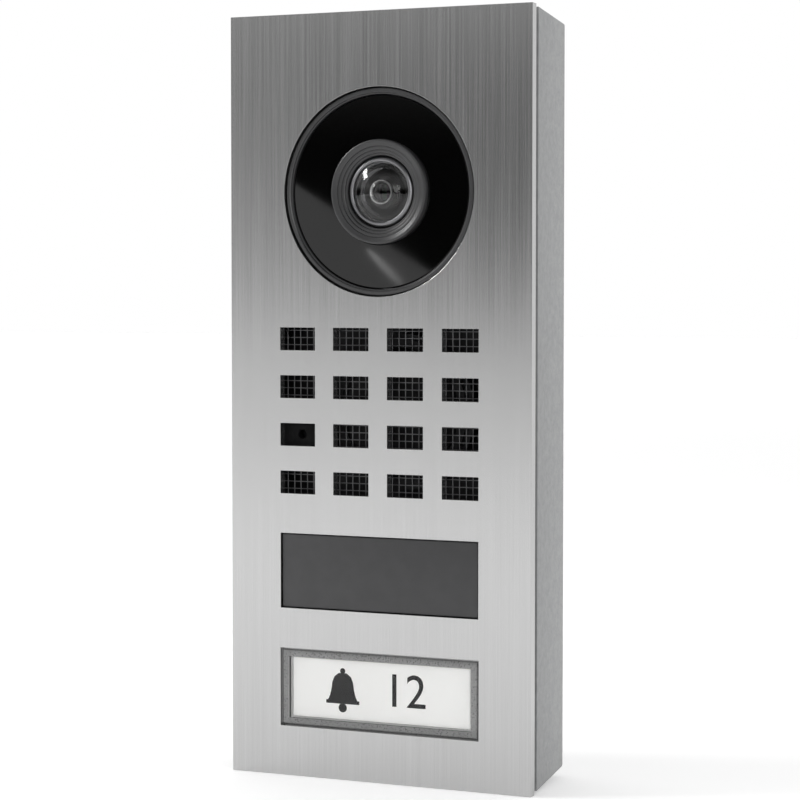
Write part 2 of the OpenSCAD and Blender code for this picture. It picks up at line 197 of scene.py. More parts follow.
def block(name: str, size: Point, span: Point, at: Point = (0.0, 0.0)) -> bpy.types.Object:
    """Makes a box between two depths.

    Args:
        name: The object's name.
        size: Its width and height.
        span: The depths of its front and back.
        at: The x and z of its middle.

    Returns:
        The new object, with its place in its mesh.
    """
    deselect()
    bpy.ops.mesh.primitive_cube_add(
        size=1, location=place(at[0], sum(span) / 2, at[1]),
        scale=(mm(size[0]), mm(span[1] - span[0]), mm(size[1])))
    item = bpy.context.object
    item.name = name
    settle(item)
    return item


def bar(name: str, radius: float, span: Point, at: Point, sides: int = 48) -> bpy.types.Object:
    """Makes a round bar along the depth.

    Args:
        name: The object's name.
        radius: Its radius.
        span: The depths of its front and back.
        at: The x and z of its axis.
        sides: How many sides stand for the round.

    Returns:
        The new object, with its place in its mesh.
    """
    deselect()
    bpy.ops.mesh.primitive_cylinder_add(
        vertices=sides, radius=mm(radius), depth=mm(span[1] - span[0]),
        location=place(at[0], sum(span) / 2, at[1]), rotation=(math.pi / 2, 0, 0))
    item = bpy.context.object
    item.name = name
    settle(item)
    return item


def turned(name: str, centre: Vector, profile: Sequence[Point], axis: Axis = Axis.DEPTH,
           closed: bool = True, sides: int = 96) -> bpy.types.Object:
    """Turns a piece by drawing one ring out along its profile.

    Args:
        name: The object's name.
        centre: The point on the axis that the profile's distances start from, in metres.
        profile: Points of (radius, distance along the axis). Only the last may have radius 0.
        axis: The axis's direction.
        closed: True joins the last ring to the first; False closes the first ring with a flat end.
        sides: How many sides stand for the round.

    Returns:
        The new object, with its place in its mesh.
    """
    along = Vector((0, 1, 0)) if axis is Axis.DEPTH else Vector((0, 0, 1))
    turn = (math.pi / 2, 0, 0) if axis is Axis.DEPTH else (0, 0, 0)
    radius, distance = profile[0]
    deselect()
    bpy.ops.mesh.primitive_circle_add(
        vertices=sides, radius=mm(radius), fill_type="NOTHING",
        location=centre + along * mm(distance), rotation=turn)
    item = bpy.context.object
    item.name = name
    settle(item)
    with shaping(item, "EDGE"):
        bpy.ops.mesh.select_all(action="SELECT")
        if not closed:
            bpy.ops.mesh.edge_face_add()
        for new_radius, new_distance in list(profile[1:]) + ([profile[0]] if closed else []):
            bpy.ops.mesh.extrude_edges_move(
                TRANSFORM_OT_translate={"value": along * mm(new_distance - distance)})
            grow = new_radius / radius
            flat = Vector((grow, grow, grow)) if new_radius else Vector((0, 0, 0))
            for i in range(3):
                if along[i]:
                    flat[i] = 1
            bpy.ops.transform.resize(value=flat, center_override=centre)
            radius, distance = new_radius or radius, new_distance
    mend(item)
    return item


def combine(piece: bpy.types.Object, tool: bpy.types.Object, use: Use) -> None:
    """Cuts a tool out of a piece, or joins it to the piece, and deletes the tool.

    Args:
        piece: The object that is kept.
        tool: The helper object.
        use: Whether it is cut out or joined on.
    """
    take(piece)
    modifier = piece.modifiers.new("cut", "BOOLEAN")
    modifier.operation = use.value
    modifier.solver = "EXACT"
    modifier.object = tool
    bpy.ops.object.modifier_apply(modifier=modifier.name)
    drop(tool)


def soften(piece: bpy.types.Object, width: float, segments: int = 2, angle: float = 35.0) -> None:
    """Rounds every edge that is sharper than an angle.

    Args:
        piece: The object.
        width: The rounding's width in millimetres.
        segments: How many steps it has.
        angle: The smallest angle that is rounded, in degrees.
    """
    take(piece)
    modifier = piece.modifiers.new("soften", "BEVEL")
    modifier.width = mm(width)
    modifier.segments = segments
    modifier.limit_method = "ANGLE"
    modifier.angle_limit = math.radians(angle)
    modifier.harden_normals = False
    modifier.use_clamp_overlap = True
    bpy.ops.object.modifier_apply(modifier=modifier.name)


def smooth(piece: bpy.types.Object, angle: float = 30.0) -> None:
    """Shades a piece smooth where its faces meet at less than an angle in degrees."""
    take(piece)
    bpy.ops.object.shade_smooth_by_angle(angle=math.radians(angle))


def join(first: bpy.types.Object, *others: bpy.types.Object) -> bpy.types.Object:
    """Joins objects into the first one's mesh and returns it."""
    if others:
        take(first, *others)
        bpy.ops.object.join()
    return first


def repeat(item: bpy.types.Object, count: int, step: Point3) -> None:
    """Repeats a mesh along a line.

    Args:
        item: The object that holds the first one.
        count: How many there are in all.
        step: The way from one to the next, in millimetres.
    """
    take(item)
    modifier = item.modifiers.new("row", "ARRAY")
    modifier.count = count
    modifier.use_relative_offset = False
    modifier.use_constant_offset = True
    modifier.constant_offset_displace = Vector(step) / 1000
    bpy.ops.object.modifier_apply(modifier=modifier.name)


# ---------------------------------------------------------------- finishes


def linear(code: str) -> Colour:
    """Turns an sRGB hex colour into linear red, green, blue and alpha."""
    def one(text: str) -> float:
        """Turns one two-digit channel into its linear value."""
        value = int(text, 16) / 255
        return value / 12.92 if value <= 0.04045 else ((value + 0.055) / 1.055) ** 2.4

    digits = code.lstrip("#")
    return (one(digits[0:2]), one(digits[2:4]), one(digits[4:6]), 1.0)


def add_node(tree: bpy.types.NodeTree, kind: str, settings: dict | None = None,
             inputs: dict | None = None) -> bpy.types.Node:
    """Adds one node with its settings and links.

    Args:
        tree: The node tree that it goes in.
        kind: The node's type name.
        settings: Its properties by name.
        inputs: Its sockets by name or number, each with a value or an output to link.

    Returns:
        The new node.
    """
    node = tree.nodes.new(kind)
    for name, value in (settings or {}).items():
        setattr(node, name, value)
    for key, value in (inputs or {}).items():
        if isinstance(value, bpy.types.NodeSocket):
            tree.links.new(value, node.inputs[key])
        else:
            node.inputs[key].default_value = value
    return node


@dataclass(frozen=True)
class Finish:
    """What every finish has; the shader's plain values are set on its own sockets."""

    name: str
    colour: str
    shade: str
    roughness: float
    metallic: float = 0.0
    grain: float = 0.6
    relief: float = 0.01
    spread: float = 0.06
    extra: tuple[tuple[str, float], ...] = ()

    def material(self) -> bpy.types.Material:
        """Returns the finish's material, made when it is first needed."""
        made = bpy.data.materials.get(self.name)
        if made is not None:
            return made
        made = bpy.data.materials.new(self.name)
        made.use_nodes = True
        made.diffuse_color = linear(self.colour)
        tree = made.node_tree
        tree.nodes.clear()
        shader = add_node(tree, "ShaderNodeBsdfPrincipled", None, {
            "Base Color": linear(self.colour), "Metallic": self.metallic, "Roughness": self.roughness})
        for socket, value in self.extra:
            shader.inputs[socket].default_value = value
        # The emission colour counts only where a finish sets a strength: the floor's glow, and the painted
        # glows on the label card and on the button cap's sides and back.
        shader.inputs["Emission Color"].default_value = linear(self.colour)
        coords = add_node(tree, "ShaderNodeTexCoord")
        self.dress(tree, shader, coords.outputs["Object"])
        add_node(tree, "ShaderNodeOutputMaterial", None, {"Surface": shader.outputs[0]})
        return made

    def noise(self, tree: bpy.types.NodeTree, coords: bpy.types.NodeSocket, size: Point3,
              detail: float = 3.0) -> bpy.types.NodeSocket:
        """Adds a noise whose features have a real size.

        Args:
            tree: The material's node tree.
            coords: The object coordinates.
            size: The features' size in millimetres along x, y and z.
            detail: How many finer layers it has.

        Returns:
            The noise's value socket.
        """
        scaled = add_node(tree, "ShaderNodeMapping", None, {
            "Vector": coords, "Scale": tuple(1000.0 / s for s in size)})
        return add_node(tree, "ShaderNodeTexNoise", None, {
            "Vector": scaled.outputs[0], "Scale": 1.0, "Detail": detail,
            "Roughness": 0.55}).outputs[0]

    def blend_colours(self, tree: bpy.types.NodeTree, factor: bpy.types.NodeSocket, first: Colour,
                      second: Colour, span: Point = (0.35, 0.65)) -> bpy.types.NodeSocket:
        """Mixes two colours by a noise between two of its values.

        Args:
            tree: The material's node tree.
            factor: The noise.
            first: The colour at the low value.
            second: The colour at the high value.
            span: The low and the high value.

        Returns:
            The colour socket.
        """
        ramp = add_node(tree, "ShaderNodeMapRange", None, {
            "Value": factor, "From Min": span[0], "From Max": span[1]})
        return add_node(tree, "ShaderNodeMix", {"data_type": "RGBA"}, {
            0: ramp.outputs[0], 6: first, 7: second}).outputs[2]

    def vary(self, tree: bpy.types.NodeTree, shader: bpy.types.Node, height: bpy.types.NodeSocket,
             relief: float) -> None:
        """Lets a noise vary the roughness a little and raise the surface.

        Args:
            tree: The material's node tree.
            shader: The surface's shader.
            height: The noise.
            relief: The relief's depth in millimetres.
        """
        rough = add_node(tree, "ShaderNodeMapRange", None, {
            "Value": height, "From Min": 0.3, "From Max": 0.7,
            "To Min": max(0.02, self.roughness - self.spread), "To Max": self.roughness + self.spread})
        bump = add_node(tree, "ShaderNodeBump", None, {
            "Strength": 1.0, "Distance": mm(relief), "Height": height})
        tree.links.new(rough.outputs[0], shader.inputs["Roughness"])
        tree.links.new(bump.outputs[0], shader.inputs["Normal"])

    def dress(self, tree: bpy.types.NodeTree, shader: bpy.types.Node,
              coords: bpy.types.NodeSocket) -> None:
        """Adds the fine moulded grain and slight colour change that most of the pieces have."""
        fine = self.noise(tree, coords, (self.grain,) * 3)
        broad = self.noise(tree, coords, (self.grain * 14,) * 3, 2.0)
        tree.links.new(self.blend_colours(tree, broad, linear(self.colour), linear(self.shade)),
                       shader.inputs["Base Color"])
        self.vary(tree, shader, fine, self.relief)


@dataclass(frozen=True)
class BrushedSteel(Finish):
    """Sheet steel ground in one direction: long fine lines, and highlights spread across them."""

    line: float = 0.16
    length: float = 46.0
    anisotropy: float = 0.7

    def dress(self, tree: bpy.types.NodeTree, shader: bpy.types.Node,
              coords: bpy.types.NodeSocket) -> None:
        """Adds the ground lines, broader passes of the belt, and the spread of the highlights."""
        # The real lines are 0.03 to 0.1 mm wide; they are drawn 0.16 mm wide so that they show.
        lines = self.noise(tree, coords, (self.line, self.line, self.length), 4.0)
        passes = self.noise(tree, coords, (self.line * 16, self.line * 16, self.length * 5), 2.0)
        both = add_node(tree, "ShaderNodeMix", {"data_type": "FLOAT"}, {0: 0.12, 2: lines, 3: passes})
        tree.links.new(self.blend_colours(tree, both.outputs[0], linear(self.shade), linear(self.colour)),
                       shader.inputs["Base Color"])
        self.vary(tree, shader, lines, self.relief)
        shader.inputs["Anisotropic"].default_value = self.anisotropy
        around = add_node(tree, "ShaderNodeTangent", {"direction_type": "RADIAL", "axis": "Z"})
        tree.links.new(around.outputs[0], shader.inputs["Tangent"])


@dataclass(frozen=True)
class PowderCoat(Finish):
    """Baked powder coat: satin, with a fine orange-peel relief and a faint mottle."""

    def dress(self, tree: bpy.types.NodeTree, shader: bpy.types.Node,
              coords: bpy.types.NodeSocket) -> None:
        """Adds the orange peel and the mottle."""
        peel = self.noise(tree, coords, (self.grain,) * 3, 2.0)
        mottle = self.noise(tree, coords, (self.grain * 3,) * 3, 4.0)
        tree.links.new(self.blend_colours(tree, mottle, linear(self.shade), linear(self.colour)),
                       shader.inputs["Base Color"])
        self.vary(tree, shader, peel, self.relief)


@dataclass(frozen=True)
class BoardLaminate(Finish):
    """Glass-fibre board under solder mask: the copper tracks show as a slightly lighter relief."""

    track: float = 1.3

    def dress(self, tree: bpy.types.NodeTree, shader: bpy.types.Node,
              coords: bpy.types.NodeSocket) -> None:
        """Adds square-cornered track regions and the weave's fine grain."""
        scaled = add_node(tree, "ShaderNodeMapping", None, {
            "Vector": coords, "Scale": (1000 / self.track,) * 3})
        cells = add_node(tree, "ShaderNodeTexVoronoi", {"distance": "MANHATTAN", "feature": "F1"}, {
            "Vector": scaled.outputs[0], "Scale": 1.0, "Randomness": 0.8})
        tree.links.new(
            self.blend_colours(tree, cells.outputs["Distance"], linear(self.shade), linear(self.colour),
                               (0.42, 0.5)), shader.inputs["Base Color"])
        self.vary(tree, shader, self.noise(tree, coords, (self.grain,) * 3), self.relief)


@dataclass(frozen=True)
class Polished(Finish):
    """Polished plastic or glass: almost no relief, only the faintest waviness and wiped film."""

    def dress(self, tree: bpy.types.NodeTree, shader: bpy.types.Node,
              coords: bpy.types.NodeSocket) -> None:
        """Adds a wiped film that varies the roughness, and leaves the colour plain."""
        film = self.noise(tree, coords, (self.grain, self.grain, self.grain * 4), 2.0)
        rough = add_node(tree, "ShaderNodeMapRange", None, {
            "Value": film, "From Min": 0.3, "From Max": 0.7,
            "To Min": self.roughness, "To Max": self.roughness + self.spread})
        tree.links.new(rough.outputs[0], shader.inputs["Roughness"])


@dataclass(frozen=True)
class PaleFloor(Finish):
    """Matt studio paper that glows a little, and more so in the distance behind the panel."""

    near_glow: float = 0.21
    far_glow: float = 0.36

    def dress(self, tree: bpy.types.NodeTree, shader: bpy.types.Node,
              coords: bpy.types.NodeSocket) -> None:
        """Adds the glow that rises behind the panel, so that the floor meets the room without a line."""
        super().dress(tree, shader, coords)
        parts = add_node(tree, "ShaderNodeSeparateXYZ", None, {0: coords})
        square_x = add_node(tree, "ShaderNodeMath", {"operation": "MULTIPLY"}, {
            0: parts.outputs["X"], 1: parts.outputs["X"]})
        behind = add_node(tree, "ShaderNodeMath", {"operation": "ADD"}, {
            0: square_x.outputs[0], 1: parts.outputs["Y"]})
        glow = add_node(tree, "ShaderNodeMapRange", {"interpolation_type": "SMOOTHSTEP"}, {
            "Value": behind.outputs[0], "From Min": 0.2, "From Max": 2.2,
            "To Min": self.near_glow, "To Max": self.far_glow})
        tree.links.new(glow.outputs[0], shader.inputs["Emission Strength"])


# Stainless sheet, belt-ground upright: neutral grey lines, softly mirrored surroundings.
STAINLESS = BrushedSteel("brushed_stainless_steel", "#bfbfbf", "#b5b5b5", 0.22, 1.0, relief=0.001,
                         spread=0.03)
# Cold-rolled angle and pillars: duller, short mill lines.
MILL_STEEL = BrushedSteel("mill_finish_steel", "#b0b0b2", "#9d9da0", 0.42, 1.0, relief=0.004, line=0.3,
                          length=12.0, anisotropy=0.3)
# Zinc die casting with a silver-grey powder coat: satin, finely pebbled.
POWDER = PowderCoat("silver_grey_powder_coat", "#888989", "#7e7f80", 0.45, 0.0, grain=0.55, relief=0.02)
# EPDM sealing rubber: dead matt black with a dusty bloom.
RUBBER = Finish("black_epdm_rubber", "#111112", "#171718", 0.78, grain=0.4, relief=0.012,
                extra=(("Specular IOR Level", 0.25),))
# Soft silicone of the microphone's sleeve: deeper black than the seals.
SILICONE = Finish("black_silicone", "#050506", "#080809", 0.7, grain=0.4, relief=0.008,
                  extra=(("Specular IOR Level", 0.15),))
# Zinc-plated screw steel: bright, faintly streaked.
PLATED = Finish("zinc_plated_steel", "#b9babd", "#a7a8ac", 0.28, 1.0, grain=0.5, relief=0.004)
# Nickel-plated can of the microphone, darkened.
DARK_CAN = Finish("dark_nickel_can", "#2e2e30", "#28282a", 0.55, 1.0, grain=0.4, relief=0.003)
# Glass-filled nylon, spark-eroded mould: dark and satin.
BLACK_NYLON = Finish("black_glass_filled_nylon", "#18181a", "#1f1f21", 0.55, grain=0.35, relief=0.012)
# Satin ABS of the bezel and lens collar: charcoal grey with soft edges.
BEZEL_ABS = Finish("satin_charcoal_abs", "#242425", "#29292a", 0.38, grain=0.3, relief=0.003,
                   extra=(("Specular IOR Level", 0.6),))
# Infrared-passing acrylic: looks black and mirrors the room like piano lacquer.
BLACK_ACRYLIC = Polished("infrared_black_acrylic", "#020202", "#030303", 0.02, grain=9.0, spread=0.015,
                         extra=(("IOR", 1.75),))
# Grey-anodised lens barrel: satin metal whose rounded rim catches the light.
BARREL = Finish("anodised_lens_barrel", "#808082", "#727274", 0.38, 1.0, grain=0.4, relief=0.002)
# Bright-turned brass ring, nickel plated, that holds the second lens.
BRIGHT_RING = Finish("nickel_plated_ring", "#dedede", "#d0d0d0", 0.3, 1.0, grain=0.4, relief=0.002)
# Light-trap paint inside the lens: as black as paint gets.
LIGHT_TRAP = Finish("light_trap_paint", "#070707", "#0a0a0a", 0.85, grain=0.5, relief=0.001,
                    extra=(("Specular IOR Level", 0.1),))
# Coated lens glass: clear and deep, with a neutral grey tint.
LENS_GLASS = Polished("coated_lens_glass", "#d8d8d8", "#d8d8d8", 0.0, grain=6.0, spread=0.01,
                      extra=(("Transmission Weight", 1.0), ("IOR", 1.42)))
# Epoxy chip package: dark, slightly glossy.
CHIP = Finish("moulded_chip_epoxy", "#202124", "#27282b", 0.4, grain=0.25, relief=0.004)
# Solder-masked board: green, with lighter tracks just under the surface.
BOARD = BoardLaminate("green_circuit_board", "#1f6b3d", "#185632", 0.35, grain=0.3, relief=0.006)
# Water-clear lamp epoxy with a violet hint.
LAMP = Finish("clear_lamp_epoxy", "#cfcad9", "#c3bed0", 0.15, grain=1.0, relief=0.002,
              extra=(("Transmission Weight", 0.6),))
# Polyimide ribbon: amber and glossy.
RIBBON = Finish("amber_polyimide_ribbon", "#b5701f", "#a2631a", 0.3, grain=0.5, relief=0.004)
# Unpigmented nylon: warm ivory and satin.
IVORY = Finish("ivory_nylon", "#ddd3b8", "#d3c9ae", 0.45, grain=0.4, relief=0.006)
# Thinly lacquered stainless wire: half metallic, so single wires show against the dark behind them.
WIRE = Finish("black_lacquered_wire", "#7a7a7b", "#68686a", 0.38, 0.5, grain=0.3, relief=0.004)
# Moulded speaker frame: near-black and dull.
BASKET = Finish("grey_speaker_abs", "#262627", "#212122", 0.6, grain=0.4, relief=0.008)
# Pressed speaker film: dark and silky.
CONE = Finish("pressed_cone_film", "#1c1c1d", "#171718", 0.6, grain=0.6, relief=0.006,
              extra=(("Specular IOR Level", 0.25),))
# Bare copper: warm metal with soft highlights.
COPPER = Finish("bare_copper", "#c47a50", "#b06a44", 0.3, 1.0, grain=0.4, relief=0.004)
# Smoked polycarbonate window, satin outer face.
SMOKED = Finish("smoked_polycarbonate", "#323233", "#363637", 0.42, grain=0.25, relief=0.0015)
# Clear polycarbonate of the call button.
CLEAR = Polished("clear_polycarbonate", "#f4f4f4", "#f4f4f4", 0.02, grain=8.0, spread=0.03,
                 extra=(("Transmission Weight", 1.0), ("IOR", 1.33)))
# The same polycarbonate where its rim is eroded matt.
CLEAR_RIM = Finish("matt_polycarbonate_rim", "#8a8a8a", "#828282", 0.3, grain=0.3, relief=0.004,
                   extra=(("Transmission Weight", 0.35),))
# Its sides and back, light grey with a painted glow: their emission is painted light that lightens them and
# the gap round the cap.
CLEAR_EDGE_PAINTED_GLOW = Finish("polycarbonate_edge_painted_glow", "#d2d2d2", "#c8c8c8", 0.4, grain=0.3, relief=0.004,
                    extra=(("Emission Strength", 0.25),))
# Uncoated card of the name label: white and slightly fibrous, with a painted glow: its emission is painted
# light that makes the card brighter than the studio lamps light it.
CARD_PAINTED_GLOW = Finish("white_label_card_painted_glow", "#f4f4f2", "#efefed", 0.75, grain=0.12, relief=0.003,
              extra=(("Emission Strength", 0.37),))
# Printing ink: flat black without shine.
INK = Finish("black_printing_ink", "#060606", "#0a0a0a", 0.7, grain=0.2, relief=0.002,
             extra=(("Specular IOR Level", 0.1),))
# Translucent white tray and guide: light-spreading ABS.
WHITE_ABS = Finish("white_diffusing_abs", "#e4e4e2", "#dcdcda", 0.4, grain=0.4, relief=0.006)
# Drawn wire: bright, even and hard.
SPRING = Finish("drawn_spring_wire", "#b5b6b9", "#a4a5a8", 0.25, 1.0, grain=0.2, relief=0.003)
# Moulded relay case: strong blue, slightly glossy.
RELAY = Finish("blue_relay_case", "#1d4391", "#183a80", 0.3, grain=0.4, relief=0.004)
# Drawn aluminium can: pale satin metal.
CAN = Finish("aluminium_capacitor_can", "#9fa0a5", "#8f9095", 0.3, 1.0, grain=0.4, relief=0.004)
# Polyamide terminal body: plain green, satin.
TERMINAL = Finish("green_terminal_pa", "#1f7a42", "#1a6b39", 0.45, grain=0.35, relief=0.008)


# ---------------------------------------------------------------- sub-assemblies


@dataclass
class Assembly:
    """A sub-assembly: it builds its pieces and hands each over with its body and finish."""

    def hand_over(self, piece: bpy.types.Object, name: str, nodes: Sequence[str], slot: str,
                  finish: Finish, body: Body = Body.PANEL, angle: float = 30.0) -> None:
        """Names, shades and dresses a finished piece and ties it to the frame.

        Args:
            piece: The finished mesh object.
            name: The piece's name.
            nodes: The CAD nodes that it stands for.
            slot: The name of its material slot; not used.
            finish: What it is made of.
            body: The body that it rides on.
            angle: Faces that meet at less than this are shaded smooth, in degrees.
        """
        settle(piece)
        smooth(piece, angle)
        piece.name = piece.data.name = name
        if not piece.data.materials:
            piece.data.materials.append(finish.material())
        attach(piece, body.value)
        if nodes:
            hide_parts(*nodes)
        LOG.info("%-22s %6d faces, %s, on %s", name, len(piece.data.polygons), finish.name, body.value)


@dataclass
class SteelFront(Assembly):
    """The stainless front plate with all its openings."""

    size: Point = (67.5, 157.5)
    thickness: float = 2.0
    camera_at: Point = (0.0, 42.15)
    camera_hole: float = 21.3
    sound_hole: Point = (8.0, 4.7)
    sound_first: Point = (-18.3, 12.15)
    sound_step: Point = (12.2, 9.9)
    sound_grid: tuple[int, int] = (4, 4)
    window: Point = (44.6, 15.6)
    window_z: float = -35.95
    button: Point = (44.8, 16.3)
    button_z: float = -60.25
    edge: float = 0.14

    def build(self) -> None:
        """Cuts the openings and breaks every edge."""
        plate = block("plate", self.size, (0.0, self.thickness))
        through = (-1.0, self.thickness + 1.0)
        combine(plate, bar("hole", self.camera_hole, through, self.camera_at, 160), Use.CUT)
        slots = block("slots", self.sound_hole, through, self.sound_first)
        repeat(slots, self.sound_grid[0], (self.sound_step[0], 0, 0))
        repeat(slots, self.sound_grid[1], (0, 0, -self.sound_step[1]))
        combine(plate, slots, Use.CUT)
        combine(plate, block("pane", self.window, through, (0, self.window_z)), Use.CUT)
        combine(plate, block("key", self.button, through, (0, self.button_z)), Use.CUT)
        soften(plate, self.edge, 2, 40)
        self.hand_over(plate, "steel_front", ["front_plate"], "brushed_stainless", STAINLESS, angle=12)


@dataclass
class BackBox(Assembly):
    """The drafted housing, its seal, the cable bush and the locking screw."""

    rim: Point = (66.7, 156.7)
    back: Point = (62.9, 152.9)
    span: Point = (4.2, 25.0)
    wall: float = 2.0
    back_round: float = 2.5
    wall_holes: Point = (22.5, 60.0)
    wall_hole: float = 2.3
    cable_at: Point = (0.0, -15.0)
    cable_hole: float = 10.0
    rib: Point = (24.0, 3.2)
    boss: Point = (11.0, 3.1)
    screw_depth: float = 12.0
    screw_hole: float = 2.2
    head_hole: float = 3.8
    head_height: float = 2.2
    seat_z: float = -75.1

    def drafted(self, name: str, span: Point, inside: float, back_round: float) -> bpy.types.Object:
        """Makes a block whose sides lean in towards the back.

        Args:
            name: The object's name.
            span: The depths of its front and back.
            inside: How much smaller it is than the housing on each side.
            back_round: The radius round its back face.

        Returns:
            The new object.
        """
        lean = [(r - b) / (self.span[1] - self.span[0]) for r, b in zip(self.rim, self.back)]
        front, rear = [[r - n * (d - self.span[0]) - 2 * inside for r, n in zip(self.rim, lean)]
                       for d in span]
        item = block(name, (front[0], front[1]), span)
        middle = place(0, span[1], 0)
        with shaping(item):
            pick_faces(item, lambda c, n: n.y > 0.9)
            bpy.ops.transform.resize(value=(rear[0] / front[0], 1, rear[1] / front[1]),
                                     center_override=middle)
        with shaping(item, "EDGE"):
            pick_edges(item, middle.y)
            bpy.ops.mesh.bevel(offset=mm(back_round), segments=7, affect="EDGES")
        return item

    def post(self, radius: float, span: Point, sides: int) -> bpy.types.Object:
        """Makes an upright bar on the locking screw's axis.

        Args:
            radius: Its radius.
            span: The heights of its foot and top.
            sides: How many sides stand for the round.

        Returns:
            The new object.
        """
        deselect()
        bpy.ops.mesh.primitive_cylinder_add(
            vertices=sides, radius=mm(radius), depth=mm(span[1] - span[0]),
            location=place(0, self.screw_depth, (span[0] + span[1]) / 2))
        item = bpy.context.object
        settle(item)
        return item

    def build_shell(self) -> None:
        """Makes the housing with its rib, boss and holes."""
        shell = self.drafted("shell", self.span, 0.0, self.back_round)
        hollow = self.drafted("hollow", (self.span[0] - 1, self.span[1] - self.wall), self.wall, 1.0)
        combine(shell, hollow, Use.CUT)
        combine(shell, block("rib", self.rib, (10, 12), (0, 75.0)), Use.ADD)
        combine(shell, block("boss", self.boss, (7, 17), (0, -75.45)), Use.ADD)
        back = (self.span[1] - self.wall - 1, self.span[1] + 1)
        for x in (-1, 1):
            for z in (-1, 1):
                at = (x * self.wall_holes[0], z * self.wall_holes[1])
                combine(shell, bar("hole", self.wall_hole, back, at, 40), Use.CUT)
        combine(shell, bar("cable", self.cable_hole, back, self.cable_at, 64), Use.CUT)
        combine(shell, self.post(self.screw_hole, (-79.1, -71.1), 48), Use.CUT)
        combine(shell, self.post(self.head_hole, (-81.1, self.seat_z), 48), Use.CUT)
        soften(shell, 0.22, 2, 50)
        self.hand_over(shell, "back_box", ["rear_housing"], "housing_coat", POWDER, angle=24)

    def build_seal(self) -> None:
        """Makes the rubber frame between the plate and the housing, with a rounded bead."""
        seal = block("seal", (65.7, 155.7), (2.0, 4.2))
        combine(seal, block("inner", (62.7, 152.7), (1.0, 5.0)), Use.CUT)
        soften(seal, 0.35, 3, 50)
        self.hand_over(seal, "box_seal", ["housing_gasket"], "seal_rubber", RUBBER)

    def build_bush(self) -> None:
        """Makes the cable bush, with rounded lips and two ridges outside its bore."""
        profile = [(6.0, 21.9), (6.3, 21.5), (7.4, 21.5), (7.7, 21.8), (8.3, 21.8), (8.6, 21.5), (11.6, 21.5),
                   (12.0, 21.9), (12.0, 22.9), (11.9, 23.0), (9.9, 23.0), (9.9, 24.6), (9.6, 25.0),
                   (8.8, 25.0),
                   (8.5, 24.7), (7.9, 24.7), (7.6, 25.0), (6.4, 25.0), (6.0, 24.6)]
        bush = turned("bush", place(self.cable_at[0], 0, self.cable_at[1]), profile)
        self.hand_over(bush, "cable_bush", ["cable_grommet"], "seal_rubber", RUBBER)

    def build_screw(self) -> None:
        """Makes the locking screw: button head with a pinned socket, and a ridged shank."""
        low = self.seat_z - self.head_height
        threads: list[Point] = []
        for i in range(6):
            threads += [(2.0, 2.7 + 0.7 * i), (1.75, 3.05 + 0.7 * i)]
        head = [(2.6, 0.0), (3.1, 0.25), (3.4, 0.8), (3.5, 1.5), (3.5, 2.1), (3.4, 2.2), (2.0, 2.2)]
        screw = turned("screw", place(0, self.screw_depth, low), head + threads + [(1.5, 7.0), (0.0, 7.0)],
                       Axis.UP, closed=False, sides=48)
        combine(screw, self.post(1.7, (low - 1, low + 1.5), 6), Use.CUT)
        combine(screw, self.post(0.5, (low + 0.1, low + 1.7), 24), Use.ADD)
        self.hand_over(screw, "lock_screw", ["security_screw"], "screw_steel", PLATED)

    def build(self) -> None:
        """Builds the housing and what is fixed in it."""
        self.build_shell()
        self.build_seal()
        self.build_bush()
        self.build_screw()


